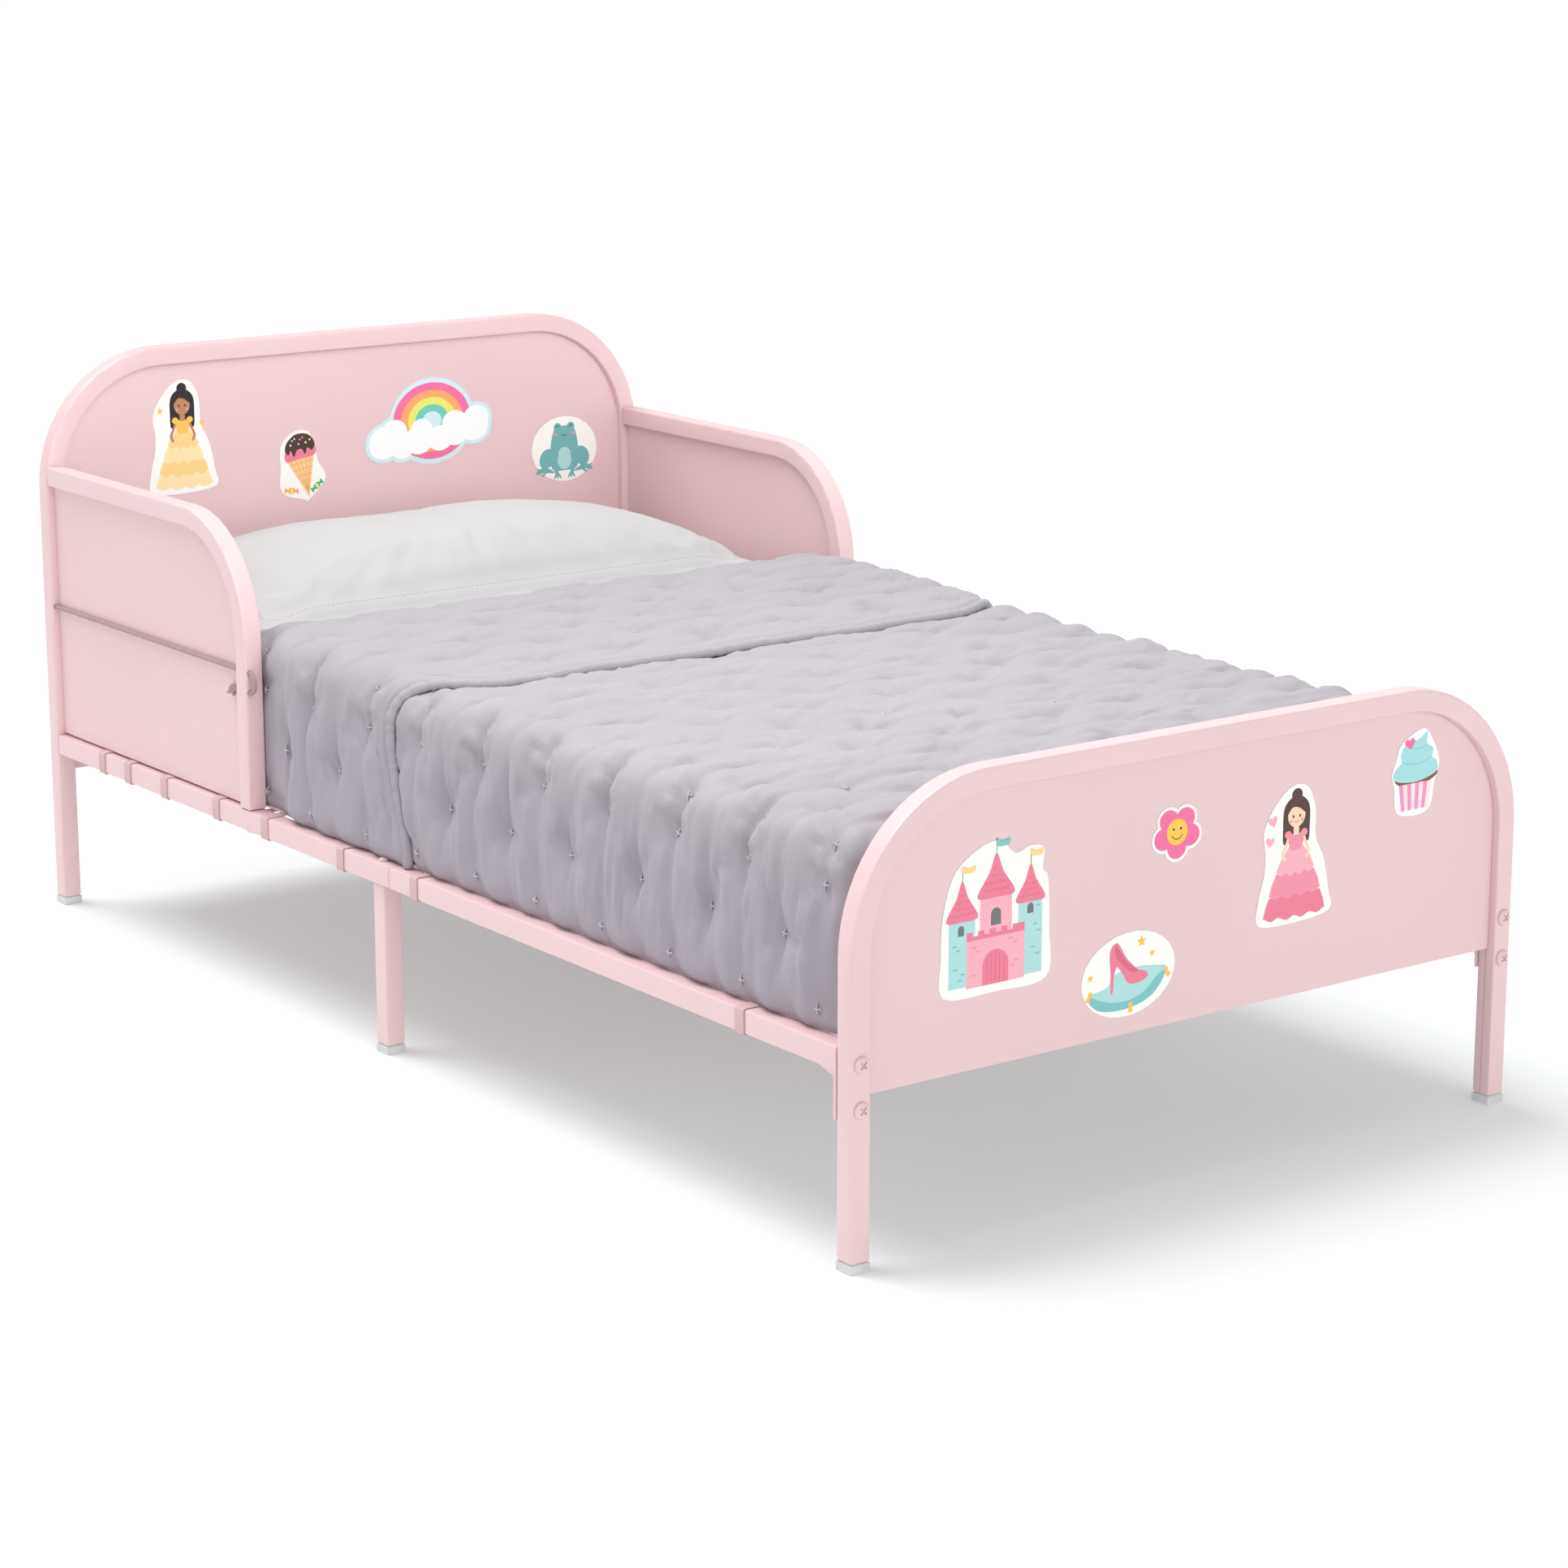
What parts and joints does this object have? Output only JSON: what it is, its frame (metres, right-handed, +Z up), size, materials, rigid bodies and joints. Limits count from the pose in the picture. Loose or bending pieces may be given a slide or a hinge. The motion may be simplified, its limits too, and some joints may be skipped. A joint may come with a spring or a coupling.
{
  "type": "toddler bed",
  "caption": "Low metal bed for a toddler: arched tube ends with flat panels, side guard rails, strap-held fabric deck, mattress, quilt and pillow.",
  "frame": {"origin": "on the floor, under the middle of the bed", "axes": "+Z up, +Y along the bed towards the headboard, +X across the bed"},
  "size_m": [0.753, 1.4168, 0.592],
  "materials": {
    "pink_steel": "satin powder coat, pale pink",
    "pink_board": "smooth pale pink lacquered board",
    "pink_fastener": "satin pink paint",
    "foot_plastic": "translucent pale grey plastic",
    "pink_webbing": "woven pink webbing",
    "mauve_cord": "braided mauve-grey cord",
    "white_cotton": "plain-weave white cotton",
    "lavender_quilt": "soft washed lavender-grey cotton, tack-stitched",
    "sticker_film": "printed satin film"
  },
  "bodies": {
    "frame": {"centre_cross_bar": "pink_steel", "centre_leg_left": "pink_steel", "centre_leg_right": "pink_steel", "deck_strap_1": "pink_webbing", "deck_strap_2": "pink_webbing", "deck_strap_3": "pink_webbing", "deck_strap_4": "pink_webbing", "deck_strap_5": "pink_webbing", "deck_strap_6": "pink_webbing", "deck_strap_7": "pink_webbing", "deck_strap_8": "pink_webbing", "fabric_deck": "pink_webbing", "foot_cap_centre_left": "foot_plastic", "foot_cap_centre_right": "foot_plastic", "foot_cap_foot_left": "foot_plastic", "foot_cap_foot_right": "foot_plastic", "foot_cap_head_left": "foot_plastic", "foot_cap_head_right": "foot_plastic", "footboard_frame": "pink_steel", "footboard_panel": "pink_board", "frame_bolt_foot_left_lower": "pink_fastener", "frame_bolt_foot_left_upper": "pink_fastener", "frame_bolt_foot_right_lower": "pink_fastener", "frame_bolt_foot_right_upper": "pink_fastener", "frame_bolt_head_left": "pink_fastener", "frame_bolt_head_right": "pink_fastener", "guard_bolt_foot_left": "pink_fastener", "guard_bolt_foot_right": "pink_fastener", "guard_bolt_post_left": "pink_fastener", "guard_bolt_post_right": "pink_fastener", "guard_cord_left": "mauve_cord", "guard_cord_right": "mauve_cord", "guard_frame_left": "pink_steel", "guard_frame_right": "pink_steel", "guard_panel_left": "pink_board", "guard_panel_right": "pink_board", "headboard_frame": "pink_steel", "headboard_panel": "pink_board", "rail_pin_left": "pink_fastener", "rail_pin_right": "pink_fastener", "side_rail_foot_half_left": "pink_steel", "side_rail_foot_half_right": "pink_steel", "side_rail_head_half_left": "pink_steel", "side_rail_head_half_right": "pink_steel", "sticker_castle": "sticker_film", "sticker_cupcake": "sticker_film", "sticker_doll_pink": "sticker_film", "sticker_doll_yellow": "sticker_film", "sticker_flower": "sticker_film", "sticker_frog": "sticker_film", "sticker_ice_cream": "sticker_film", "sticker_rainbow": "sticker_film", "sticker_slipper": "sticker_film"},
    "bedding": {"mattress": "white_cotton", "fitted_sheet": "white_cotton", "quilt": "lavender_quilt"},
    "pillow_body": {"pillow": "white_cotton"}
  },
  "joints": [
    {"name": "mattress_lift", "type": "slide", "parent": "frame", "child": "bedding", "axis": [0, 0, 1], "range_m": [0, 0.45]},
    {"name": "pillow_lift", "type": "slide", "parent": "bedding", "child": "pillow_body", "axis": [0, 0, 1], "range_m": [0, 0.3]}
  ]
}
